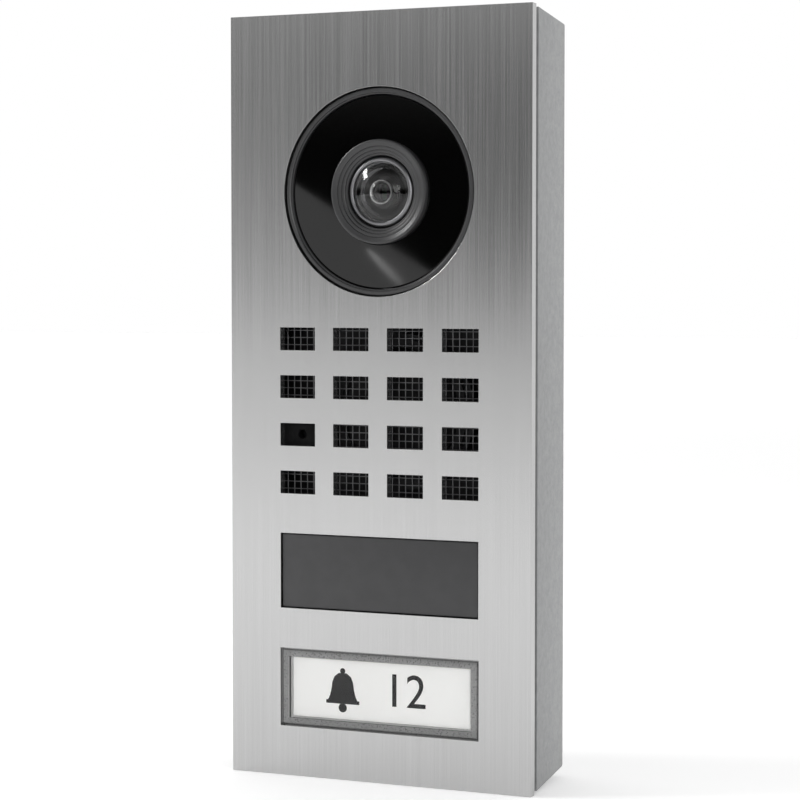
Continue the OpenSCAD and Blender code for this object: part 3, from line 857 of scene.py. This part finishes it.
@dataclass
class CameraEye(Assembly):
    """The camera's bezel, flat lamp cover, collar, barrel and front lens."""

    centre: Point = (0.0, 42.15)
    dome_radius: float = 13.13
    apex: float = 0.15
    lens_radius: float = 6.6
    hollow_radius: float = 6.2
    hollow_apex: float = 1.0
    lens_back: float = 3.2

    def axis_point(self) -> Vector:
        """Returns the point where the lens axis meets the front's face."""
        return place(self.centre[0], 0, self.centre[1])

    def build_bezel(self) -> None:
        """Makes the bezel ring with its inner groove."""
        profile = [(19.8, 1.3), (19.85, 1.0), (20.05, 0.95), (20.15, 0.62), (20.3, 0.5), (20.75, 0.5),
                   (20.93, 0.56), (21.0, 0.75), (21.0, 2.8), (23.5, 2.8), (23.5, 4.3), (19.8, 4.3)]
        ring = turned("ring", self.axis_point(), profile, sides=128)
        self.hand_over(ring, "camera_bezel_ring", ["camera_bezel"], "bezel_moulding", BEZEL_ABS)

    def build_cover(self) -> None:
        """Makes the flat black cover over the lamps, with its edges broken."""
        profile = [(10.75, 1.4), (10.85, 1.3), (19.45, 1.3), (19.6, 1.45), (19.6, 4.3), (22.5, 4.3),
                   (22.5, 5.6), (18.2, 5.6), (18.2, 2.8), (10.75, 2.8)]
        cover = turned("cover", self.axis_point(), profile, sides=128)
        self.hand_over(cover, "lamp_cover", ["camera_cover"], "gloss_black", BLACK_ACRYLIC)

    def build_collar(self) -> None:
        """Makes the stepped collar round the lens."""
        profile = [(7.4, 1.5), (7.5, 1.36), (7.85, 1.3), (7.92, 1.0), (8.05, 0.9), (8.5, 0.88), (8.58, 0.66),
                   (8.72, 0.58), (9.25, 0.56), (9.33, 0.36), (9.5, 0.28), (10.0, 0.16), (10.1, 0.1),
                   (10.42, 0.1), (10.58, 0.18), (10.65, 0.36), (10.65, 4.3), (12.5, 4.3), (12.5, 5.5),
                   (7.4, 5.5)]
        collar = turned("collar", self.axis_point(), profile, sides=128)
        self.hand_over(collar, "stepped_collar", ["lens_collar"], "bezel_moulding", BEZEL_ABS, angle=40)

    def build_barrel(self) -> None:
        """Makes the threaded barrel with its rounded rim."""
        threads: list[Point] = []
        for i in range(12):
            threads += [(7.25, 6.3 + 0.7 * i), (7.1, 6.65 + 0.7 * i)]
        profile = [(6.15, 1.64), (6.15, 1.5), (6.2, 1.38), (6.3, 1.29), (6.44, 1.25), (6.58, 1.26),
                   (6.74, 1.33), (6.92, 1.47), (7.08, 1.68), (7.2, 1.98),
                   (7.25, 2.35), *threads, (7.25, 15.0),
                   (7.1, 15.2), (5.6, 15.2), (5.6, 3.2), (6.65, 3.2), (6.65, 1.76)]
        barrel = turned("barrel", self.axis_point(), profile, sides=96)
        self.hand_over(barrel, "lens_barrel_tube", ["lens_barrel"], "barrel_metal", BARREL)

    def build_front_lens(self) -> None:
        """Makes the front lens: a domed face and a hollow back."""
        def dome(radius: float) -> float:
            """Returns the dome's depth at a distance from the axis."""
            return self.apex + self.dome_radius - math.sqrt(self.dome_radius ** 2 - radius ** 2)

        def hollow(radius: float) -> float:
            """Returns the hollow back's depth at a distance from the axis."""
            return self.hollow_apex + self.hollow_radius - math.sqrt(self.hollow_radius ** 2 - radius ** 2)

        rest = self.hollow_radius - (self.lens_back - self.hollow_apex)
        edge = math.sqrt(self.hollow_radius ** 2 - rest ** 2)
        inner = [edge * i / 16 for i in range(1, 17)]
        outer = [self.lens_radius * (1 - i / 18) for i in range(18)]
        profile = [(0.05, self.hollow_apex)] + [(r, hollow(r)) for r in inner]
        profile += [(self.lens_radius, self.lens_back)] + [(r, dome(r)) for r in outer] + [(0.0, self.apex)]
        lens = turned("lens", self.axis_point(), profile, closed=False, sides=96)
        self.hand_over(lens, "objective_lens", ["front_lens"], "lens_glass", LENS_GLASS, angle=40)

    def build_trap(self) -> None:
        """Makes the stepped light trap behind the front lens, and the bright ring that holds it."""
        steps = [(2.0, 2.36), (2.06, 2.3), (2.62, 2.3), (2.64, 2.42), (2.92, 2.42), (2.94, 2.3), (3.3, 2.3),
                 (3.32, 2.5), (3.62, 2.5), (3.64, 2.8), (3.95, 2.8), (3.97, 3.06), (4.28, 3.06), (4.3, 3.4),
                 (5.5, 3.4), (5.5, 5.6), (2.0, 5.6)]
        trap = turned("trap", self.axis_point(), steps)
        self.hand_over(trap, "light_trap", ["lens_spacer"], "black_moulding", LIGHT_TRAP, angle=20)
        rim = [(2.0, 2.24), (2.04, 2.12), (2.2, 1.82), (2.27, 1.75), (2.42, 1.75), (2.45, 1.79), (2.45, 2.3),
               (2.0, 2.3)]
        ring = turned("ring", self.axis_point(), rim)
        self.hand_over(ring, "bright_ring", ["lens_retaining_ring"], "barrel_metal", BRIGHT_RING)

    def build(self) -> None:
        """Builds what shows in the plate's round opening."""
        self.build_bezel()
        self.build_cover()
        self.build_collar()
        self.build_barrel()
        self.build_front_lens()
        self.build_trap()


@dataclass
class SpeechGrille(Assembly):
    """The woven wire behind the sound holes and the rubber sleeve round the microphone."""

    size: Point = (49.4, 40.4)
    centre_z: float = -2.7
    depth: float = 3.75
    pitch: float = 1.5
    wire: float = 0.22
    weave: float = 0.04
    microphone_at: Point = (-18.3, -7.65)
    cut: Point = (10.8, 8.4)

    def wires(self, name: str, across: bool) -> bpy.types.Object:
        """Weaves the wires of one direction.

        Args:
            name: The object's name.
            across: True for the wires along x.

        Returns:
            One object with all those wires, each second one woven the other way round.
        """
        length, width = self.size if across else self.size[::-1]
        steps = int(length / self.pitch) * 2
        count = int(width / self.pitch / 2)
        both = []
        for phase in (1, -1):
            first = -width / 2 + self.pitch * (0.5 if phase == 1 else 1.5)
            start = (-length / 2, first) if across else (first, -length / 2)
            deselect()
            bpy.ops.mesh.primitive_circle_add(
                vertices=5, radius=mm(self.wire / 2), fill_type="NGON",
                location=place(start[0], self.depth, self.centre_z + start[1]),
                rotation=(0, math.pi / 2, 0) if across else (0, 0, 0))
            item = bpy.context.object
            item.name = f"{name}_{phase}"
            settle(item)
            with shaping(item):
                bpy.ops.mesh.select_all(action="SELECT")
                for i in range(steps):
                    swing = [math.sin((k + 0.5) * math.pi / 2) for k in (i, i + 1)]
                    sign = phase if across else -phase
                    move = Vector((0, mm(sign * self.weave * (swing[1] - swing[0])), 0))
                    move[0 if across else 2] = mm(length / steps)
                    bpy.ops.mesh.extrude_region_move(TRANSFORM_OT_translate={"value": move})
            mend(item)
            repeat(item, count, (0, 0, 2 * self.pitch) if across else (2 * self.pitch, 0, 0))
            both.append(item)
        return join(*both)

    def build_mesh(self) -> None:
        """Makes the woven sheet, with the microphone's place cut out of it."""
        cloth = join(self.wires("weft", True), self.wires("warp", False))
        low = place(self.microphone_at[0] - self.cut[0] / 2, 0, self.microphone_at[1] - self.cut[1] / 2)
        high = place(self.microphone_at[0] + self.cut[0] / 2, 0, self.microphone_at[1] + self.cut[1] / 2)
        with shaping(cloth, "VERT"):
            pick_faces(cloth, lambda c, n: low.x < c.x < high.x and low.z < c.z < high.z)
            bpy.ops.mesh.delete(type="FACE")
        self.hand_over(cloth, "woven_screen", ["speaker_mesh"], "black_mesh", WIRE, angle=80)

    def build_sleeve(self) -> None:
        """Makes the rubber sleeve with its sound hole and the seat of the microphone."""
        sleeve = block("sleeve", (10.0, 7.6), (2.1, 9.0), self.microphone_at)
        combine(sleeve, bar("seat", 3.05, (4.2, 10.0), self.microphone_at), Use.CUT)
        combine(sleeve, bar("sound", 0.9, (1.0, 5.0), self.microphone_at, 32), Use.CUT)
        soften(sleeve, 0.3, 2, 50)
        self.hand_over(sleeve, "microphone_sleeve", ["microphone_boot"], "seal_rubber", SILICONE)

    def build(self) -> None:
        """Builds what shows through the sound holes."""
        self.build_mesh()
        self.build_sleeve()


@dataclass
class ReaderPane(Assembly):
    """The smoked window over the reader."""

    size: Point = (44.2, 15.2)
    flange: Point = (49.0, 20.0)
    centre_z: float = -35.95
    span: Point = (0.35, 3.7)
    flange_front: float = 2.5

    def build(self) -> None:
        """Makes the pane, draws its flange out of its foot and rounds its edges."""
        pane = block("pane", self.size, self.span, (0, self.centre_z))
        foot = block("foot", self.flange, (self.flange_front, self.span[1]), (0, self.centre_z))
        combine(pane, foot, Use.ADD)
        soften(pane, 0.22, 3, 50)
        self.hand_over(pane, "smoked_pane", ["reader_window"], "tinted_window", SMOKED)


@dataclass
class CallButton(Assembly):
    """The clear cap, the printed card, and the white tray behind it."""

    cap: Point = (44.2, 15.7)
    centre_z: float = -60.25
    front: float = 0.2
    back: float = 4.8
    chamfer: float = 0.7
    rim_band: float = 0.75
    lip: Point = (46.6, 18.2)
    lip_span: Point = (2.3, 3.5)
    pocket: Point = (41.0, 13.0)
    pocket_front: float = 1.6
    card: Point = (40.0, 12.2)
    card_span: Point = (1.65, 1.85)
    tray: Point = (40.6, 12.6)
    print_relief: float = 0.02
    bell_x: float = -8.6
    number_at: Point = (5.6, -2.7)
    number_height: float = 7.0
    spring_x: float = 17.0
    spring_radius: float = 2.1
    spring_wire: float = 0.25
    spring_turns: int = 5
    spring_steps: int = 24
    spring_foot: float = 12.5
    travel: float = 0.7

    def build_cap(self) -> None:
        """Makes the cap: chamfered face, stop lip, pocket for the card, matt rim."""
        at = (0.0, self.centre_z)
        cap = block("cap", self.cap, (self.front, self.back), at)
        face_y = place(0, self.front, 0).y
        with shaping(cap, "EDGE"):
            pick_edges(cap, face_y)
            bpy.ops.mesh.bevel(offset=mm(self.chamfer), segments=2, profile=0.6, affect="EDGES")
        combine(cap, block("lip", self.lip, self.lip_span, at), Use.ADD)
        combine(cap, block("pocket", self.pocket, (self.pocket_front, self.back + 1), at), Use.CUT)
        with shaping(cap):
            pick_faces(cap, lambda c, n: n.y < -0.99 and abs(c.y - face_y) < SAME_PLACE)
            bpy.ops.mesh.inset(thickness=mm(self.rim_band), depth=0)
        # The cap's sides and back get the third finish, whose painted glow lightens them and the gap round
        # the cap.
        for finish in (CLEAR_RIM, CLEAR, CLEAR_EDGE_PAINTED_GLOW):
            cap.data.materials.append(finish.material())
        half_x, half_z = mm(self.pocket[0] / 2 - 0.05), mm(self.pocket[1] / 2 - 0.05)
        for face in cap.data.polygons:
            inside = abs(face.center.x) < half_x and abs(face.center.z - mm(self.centre_z)) < half_z
            if inside and abs(face.normal.y) > 0.9:
                face.material_index = 1
            elif face.normal.y > -0.1:
                face.material_index = 2
        self.hand_over(cap, "clear_cap", ["button_cap"], "clear_plastic", CLEAR, Body.BUTTON)

    def build_card(self) -> None:
        """Makes the card with its print: a bell and a house number."""
        at = (0.0, self.centre_z)
        card = block("card", self.card, self.card_span, at)
        soften(card, 0.05, 1, 50)
        # The card's finish carries a painted glow that brightens it.
        self.hand_over(card, "label_card", ["name_label"], "label_paper", CARD_PAINTED_GLOW, Body.BUTTON)
        span = (self.card_span[0] - self.print_relief, self.card_span[0] + self.print_relief)
        parts = [
            self.bell_body(span),
            block("rim", (7.6, 0.75), span, (self.bell_x, self.centre_z - 2.55)),
            bar("clapper", 0.95, span, (self.bell_x, self.centre_z - 3.75), 24),
            bar("crown", 0.6, span, (self.bell_x, self.centre_z + 3.9), 24),
            self.number("12", self.number_height,
                        (self.number_at[0], self.centre_z + self.number_at[1]), span),
        ]
        self.hand_over(join(*parts), "label_print", [], "label_paper", INK, Body.BUTTON)

    def bell_body(self, span: Point) -> bpy.types.Object:
        """Makes the bell symbol's flared body between two depths."""
        outline = [(-3.4, -2.3), (3.4, -2.3), (2.9, -1.2), (2.55, 0.2), (2.4, 1.5), (1.9, 2.7), (0.9, 3.45),
                   (-0.9, 3.45), (-1.9, 2.7), (-2.4, 1.5), (-2.55, 0.2), (-2.9, -1.2)]
        deselect()
        bpy.ops.mesh.primitive_circle_add(vertices=len(outline), radius=mm(3), fill_type="NGON",
                                          location=place(self.bell_x, span[0], self.centre_z),
                                          rotation=(math.pi / 2, 0, 0))
        item = bpy.context.object
        settle(item)
        for vertex, (x, z) in zip(item.data.vertices, outline):
            vertex.co = place(self.bell_x + x, span[0], self.centre_z + z)
        with shaping(item):
            bpy.ops.mesh.select_all(action="SELECT")
            bpy.ops.mesh.extrude_region_move(
                TRANSFORM_OT_translate={"value": (0, mm(span[1] - span[0]), 0)})
        mend(item)
        return item

    def number(self, text: str, height: float, at: Point, span: Point) -> bpy.types.Object:
        """Makes a flat number between two depths.

        Args:
            text: The digits.
            height: Their height.
            at: The x of their middle and the z of their foot.
            span: The depths of their front and back.

        Returns:
            The number as a mesh object.
        """
        deselect()
        bpy.ops.object.text_add(location=place(at[0], sum(span) / 2, at[1]), rotation=(math.pi / 2, 0, 0))
        item = bpy.context.object
        item.data.body = text
        item.data.align_x = "CENTER"
        item.data.size = mm(height) * 1.4
        item.data.resolution_u = 4
        item.data.extrude = mm(span[1] - span[0]) / 2
        take(item)
        bpy.ops.object.convert(target="MESH")
        settle(item)
        return item

    def build_tray(self) -> None:
        """Makes the white tray with its switch pin and spring pins."""
        at = (0.0, self.centre_z)
        tray = block("tray", self.tray, (1.9, self.back), at)
        soften(tray, 0.25, 2, 50)
        combine(tray, bar("pin", 2.0, (self.back - 0.1, 6.1), at, 32), Use.ADD)
        for side in (-1, 1):
            combine(tray, bar("pin", 1.4, (self.back - 0.1, 6.4), (side * self.spring_x, self.centre_z), 32),
                    Use.ADD)
        self.hand_over(tray, "white_tray", ["label_tray"], "white_moulding", WHITE_ABS, Body.BUTTON)

    def spring(self, x: float) -> bpy.types.Object:
        """Winds one return spring between the tray and the board, with its wire's ends closed."""
        deselect()
        bpy.ops.mesh.primitive_circle_add(
            vertices=8, radius=mm(self.spring_wire), fill_type="NOTHING",
            location=(mm(self.spring_radius), 0, mm(self.spring_wire)), rotation=(math.pi / 2, 0, 0))
        item = bpy.context.object
        settle(item)
        modifier = item.modifiers.new("coil", "SCREW")
        modifier.iterations = self.spring_turns
        modifier.steps = modifier.render_steps = self.spring_steps
        modifier.screw_offset = mm((self.spring_foot - self.back - 2 * self.spring_wire) / self.spring_turns)
        bpy.ops.object.modifier_apply(modifier=modifier.name)
        with shaping(item, "EDGE"):
            bpy.ops.mesh.select_all(action="SELECT")
            bpy.ops.mesh.fill_holes(sides=0)
        item.rotation_euler = (-math.pi / 2, 0, 0)
        item.location = place(x, self.back, self.centre_z)
        settle(item)
        mend(item)
        return item

    def build_springs(self) -> None:
        """Makes the two return springs and gives them a mesh of their own."""
        springs = join(self.spring(-self.spring_x), self.spring(self.spring_x))
        self.hand_over(springs, "return_springs", ["button_springs"], "spring_steel", SPRING)
        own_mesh(springs)

    def build(self) -> None:
        """Builds what moves when the button is pressed."""
        self.build_cap()
        self.build_card()
        self.build_tray()
        self.build_springs()


@dataclass
class InnerWorks(Assembly):
    """The CAD pieces that keep their shape and get their finish."""

    finishes: dict[str, Finish] = field(default_factory=lambda: {
        "plate_standoffs": MILL_STEEL, "top_hook": MILL_STEEL, "fixing_bracket": MILL_STEEL,
        "carrier_frame": BLACK_NYLON, "camera_housing": BLACK_NYLON, "lens_holder": BLACK_NYLON,
        "switch_body": BLACK_NYLON, "power_transformer": BLACK_NYLON,
        "carrier_screws": PLATED, "self_tapping_screws": PLATED, "camera_board_screws": PLATED,
        "terminal_screws": PLATED, "speaker_magnet": PLATED, "microphone": DARK_CAN, "wifi_module": PLATED,
        "camera_seal": RUBBER, "window_seal": RUBBER, "grille_gasket": RUBBER, "speaker_gasket": RUBBER,
        "speaker_surround": RUBBER, "rear_lens": LENS_GLASS,
        "image_sensor": CHIP, "processor": CHIP, "camera_board": BOARD, "lamp_board": BOARD,
        "reader_board": BOARD, "main_board": BOARD, "infrared_lamps": LAMP, "backlight_lamps": LAMP,
        "camera_flex": RIBBON, "flex_connectors": IVORY, "switch_plunger": IVORY,
        "speaker_basket": BASKET, "speaker_cone": CONE, "voice_coil": COPPER, "reader_antenna": COPPER,
        "button_guide": WHITE_ABS, "door_relay": RELAY, "capacitors": CAN,
        "terminal_block": TERMINAL,
    })

    def build(self) -> None:
        """Gives every kept CAD piece its finish."""
        for node, finish in self.finishes.items():
            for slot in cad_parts[node].material_slots:
                slot.material = finish.material()
            LOG.info("%-22s keeps its shape, %s", node, finish.name)


# ---------------------------------------------------------------- studio


@dataclass
class Studio:
    """The camera, the floor, the world and the soft lights."""

    camera_at: Point3 = (0.2174, -0.48275, 0.0236)
    camera_turn: Point3 = (87.32, 0.0, 24.89)
    focal: float = 112.185
    floor_z: float = -0.0788
    floor_size: float = 8.0

    def build_camera(self) -> None:
        """Places the camera."""
        bpy.ops.object.camera_add(location=self.camera_at,
                                  rotation=[math.radians(a) for a in self.camera_turn])
        camera = bpy.context.object
        camera.data.lens = self.focal
        camera.data.sensor_width = 36.0
        camera.data.clip_start, camera.data.clip_end = 0.01, 50.0
        bpy.context.scene.camera = camera

    def build_floor(self) -> None:
        """Lays the plain pale floor."""
        deselect()
        bpy.ops.mesh.primitive_plane_add(size=self.floor_size, location=(0, 0, self.floor_z))
        floor = bpy.context.object
        floor.name = "floor"
        floor.data.materials.append(
            PaleFloor("pale_floor", "#fbfbfb", "#fafafa", 0.9, grain=30.0, relief=0.0).material())

    def build_world(self) -> None:
        """Makes the white room behind the panel and the dimmer room in front of it."""
        world = bpy.data.worlds.new("studio_room")
        bpy.context.scene.world = world
        world.use_nodes = True
        tree = world.node_tree
        tree.nodes.clear()
        coords = add_node(tree, "ShaderNodeTexCoord")
        parts = add_node(tree, "ShaderNodeSeparateXYZ", None, {0: coords.outputs["Generated"]})
        rise = add_node(tree, "ShaderNodeMapRange", {"interpolation_type": "SMOOTHSTEP"}, {
            "Value": parts.outputs["Z"], "From Min": 0.05, "From Max": 0.2, "To Min": 0.01, "To Max": 0.79})
        height = add_node(tree, "ShaderNodeMapRange", {"interpolation_type": "SMOOTHSTEP"}, {
            "Value": parts.outputs["Z"], "From Min": 0.4, "From Max": 0.7, "To Min": rise.outputs[0],
            "To Max": 0.0})
        behind = add_node(tree, "ShaderNodeMapRange", {"interpolation_type": "SMOOTHSTEP"}, {
            "Value": parts.outputs["Y"], "From Min": -0.25, "From Max": 0.35})
        room = add_node(tree, "ShaderNodeMix", {"data_type": "FLOAT"}, {
            0: behind.outputs[0], 2: height.outputs[0], 3: 1.0})
        seen = add_node(tree, "ShaderNodeLightPath")
        shown = add_node(tree, "ShaderNodeMix", {"data_type": "FLOAT"}, {
            0: seen.outputs["Is Camera Ray"], 2: room.outputs[0], 3: 1.0})
        back = add_node(tree, "ShaderNodeBackground", None, {
            "Color": linear("#ffffff"), "Strength": shown.outputs[0]})
        add_node(tree, "ShaderNodeOutputWorld", None, {"Surface": back.outputs[0]})

    def softbox(self, name: str, at: Point3, size: Point, power: float,
                aim: Point3 = (0.0, -0.01, 0.0), spin: float = 0.0, oval: bool = False) -> None:
        """Hangs a flat soft light.

        Args:
            name: The light's name.
            at: Its place in metres.
            size: Its width and height in metres.
            power: Its power in watts.
            aim: The point it faces.
            spin: Its turn about its own axis in degrees.
            oval: True for an oval light, False for a rectangular one.
        """
        bpy.ops.object.light_add(type="AREA", location=at)
        light = bpy.context.object
        light.name = name
        light.data.shape = "ELLIPSE" if oval else "RECTANGLE"
        light.data.size, light.data.size_y = size
        light.data.energy = power
        turn = (Vector(aim) - Vector(at)).to_track_quat("-Z", "Y")
        light.rotation_euler = turn.to_euler()
        light.rotation_euler.rotate_axis("Z", math.radians(spin))

    def sun(self, name: str, strength: float, azimuth: float, elevation: float, spread: float) -> None:
        """Adds a broad far light.

        Args:
            name: The light's name.
            strength: Its strength in watts per square metre.
            azimuth: Where it stands, in degrees; 0 is in front and 90 to the right.
            elevation: Its height above the horizon in degrees.
            spread: How wide it looks in degrees.
        """
        bpy.ops.object.light_add(type="SUN", location=(0, 0, 1))
        light = bpy.context.object
        light.name = name
        light.data.energy = strength
        light.data.angle = math.radians(spread)
        light.rotation_euler = (math.radians(90 - elevation), 0, math.radians(azimuth))

    def build(self) -> None:
        """Sets up the whole studio."""
        self.build_camera()
        self.build_floor()
        self.build_world()
        self.softbox("window", (-0.832, -0.408, 0.543), (0.14, 0.42), 4.9, spin=48.7)
        self.softbox("strip", (-0.681, -1.471, 0.037), (0.006, 0.044), 0.001, spin=44.2, oval=True)
        self.softbox("screen", (-1.125, -1.45, -0.11), (1.2, 0.7466), 1.52, spin=-32.46)
        self.softbox("wall", (0.9, -0.6, 0.3), (0.6, 0.6), 4.5)
        self.sun("ceiling", 0.3, -30.0, 72.0, 40.0)
        scene = bpy.context.scene
        scene.view_settings.view_transform = "Standard"
        scene.view_settings.look = "None"


def main() -> None:
    """Builds the studio and every sub-assembly in order."""
    logging.basicConfig(level=logging.INFO, format="%(message)s", stream=sys.stdout)
    Studio().build()
    for assembly in (SteelFront(), BackBox(), CameraEye(), SpeechGrille(), ReaderPane(), CallButton(),
                     InnerWorks()):
        assembly.build()


if __name__ == "__main__":
    main()
